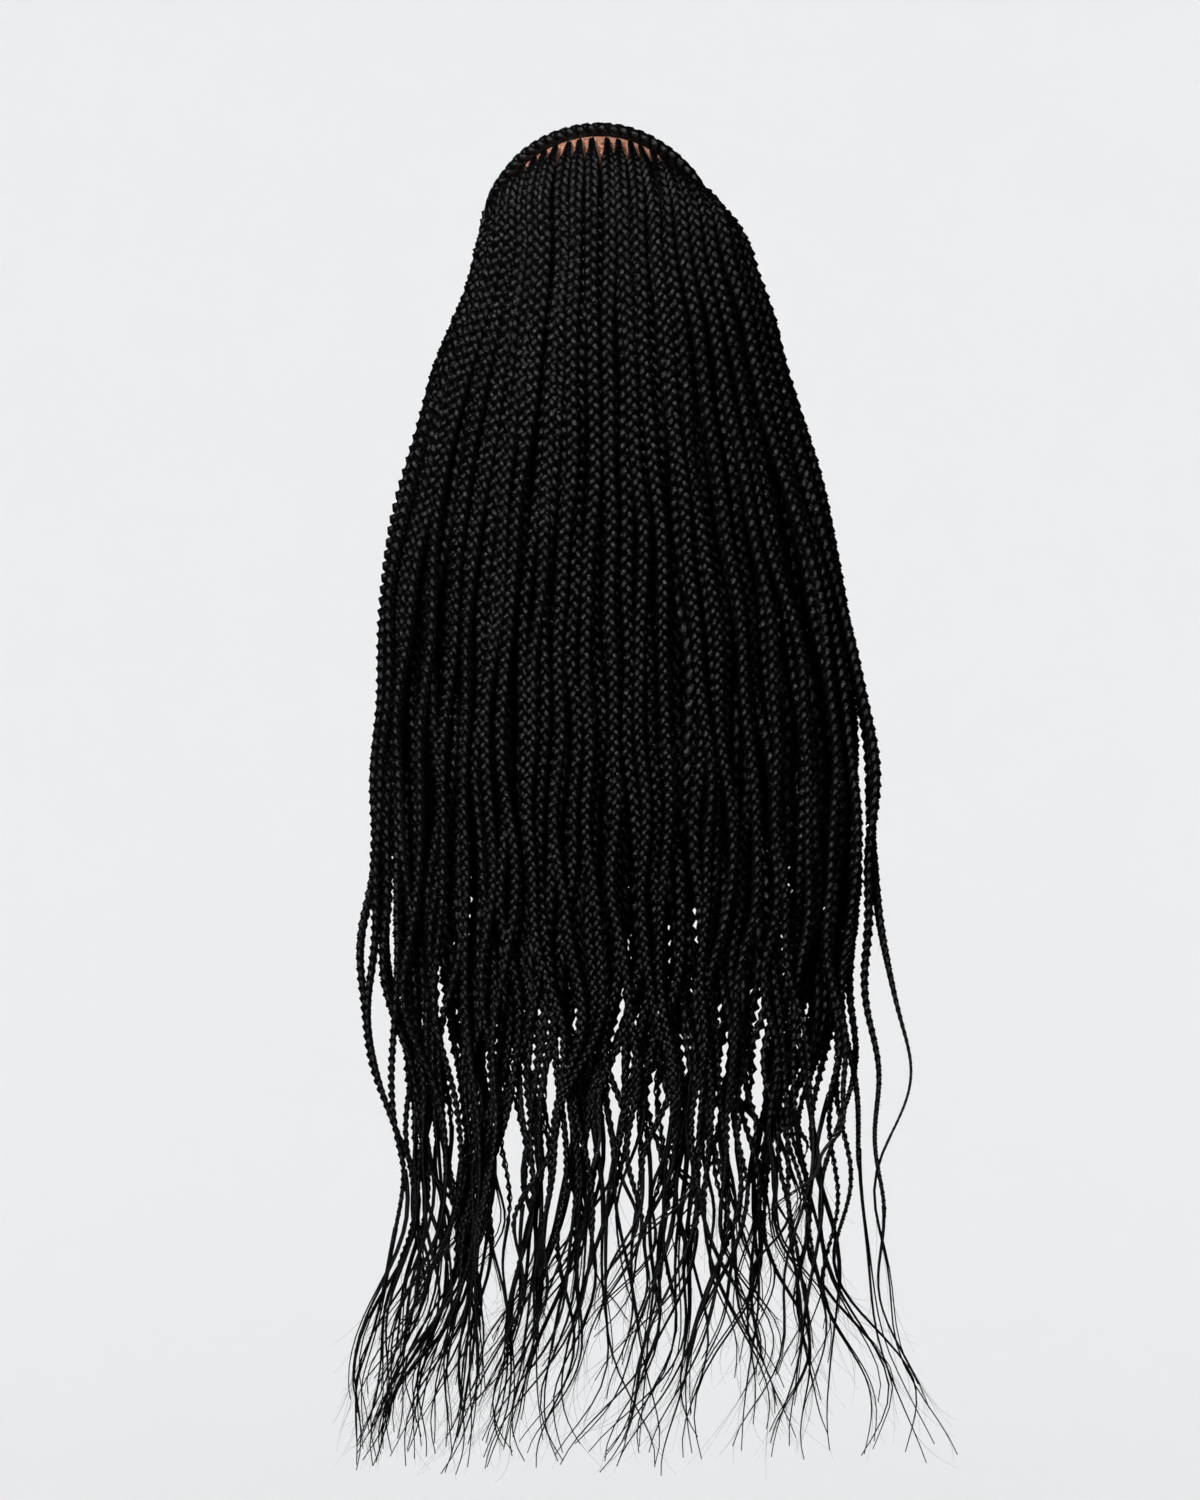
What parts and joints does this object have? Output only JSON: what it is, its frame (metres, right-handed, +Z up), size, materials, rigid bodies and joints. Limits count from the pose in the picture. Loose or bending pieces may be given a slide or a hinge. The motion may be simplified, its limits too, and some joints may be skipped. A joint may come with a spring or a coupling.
{
  "type": "wig",
  "caption": "Long wig of thin black box braids hanging in layered rows from an open tan lace cap, with a thicker braid arched over the crown and flat cornrows in front.",
  "frame": {"origin": "inside the cap at its crown, where the top of the wearer's head sits", "axes": "+Z up, +Y the way the wearer faces, +X to the wearer's right; the braids hang down the back towards -Z"},
  "size_m": [0.4846, 0.2377, 1.0194],
  "materials": {
    "hair": "plaited black braiding hair, soft sheen",
    "lace": "matte tan lace net"
  },
  "bodies": {
    "root": {"lace_cap_front": "lace", "lace_cap_back": "lace", "crown_braid": "hair", "cornrow_1": "hair", "cornrow_2": "hair", "cornrow_3": "hair", "cornrow_4": "hair", "cornrow_5": "hair", "cornrow_6": "hair", "cornrow_7": "hair", "cornrow_8": "hair", "cornrow_9": "hair", "cornrow_10": "hair", "cornrow_11": "hair", "cornrow_12": "hair", "cornrow_13": "hair", "top_lock_1": "hair", "top_lock_2": "hair", "top_lock_3": "hair", "top_lock_4": "hair", "top_lock_5": "hair", "top_lock_6": "hair", "top_lock_7": "hair", "top_lock_8": "hair", "upper_lock_1": "hair", "upper_lock_2": "hair", "upper_lock_3": "hair", "upper_lock_4": "hair", "upper_lock_5": "hair", "upper_lock_6": "hair", "upper_lock_7": "hair", "upper_lock_8": "hair", "middle_lock_1": "hair", "middle_lock_2": "hair", "middle_lock_3": "hair", "middle_lock_4": "hair", "middle_lock_5": "hair", "middle_lock_6": "hair", "middle_lock_7": "hair", "lower_lock_1": "hair", "lower_lock_2": "hair", "lower_lock_3": "hair", "lower_lock_4": "hair", "lower_lock_5": "hair", "lower_lock_6": "hair", "lower_lock_7": "hair", "nape_lock_1": "hair", "nape_lock_2": "hair", "nape_lock_3": "hair", "nape_lock_4": "hair", "nape_lock_5": "hair", "nape_lock_6": "hair"}
  },
  "joints": []
}
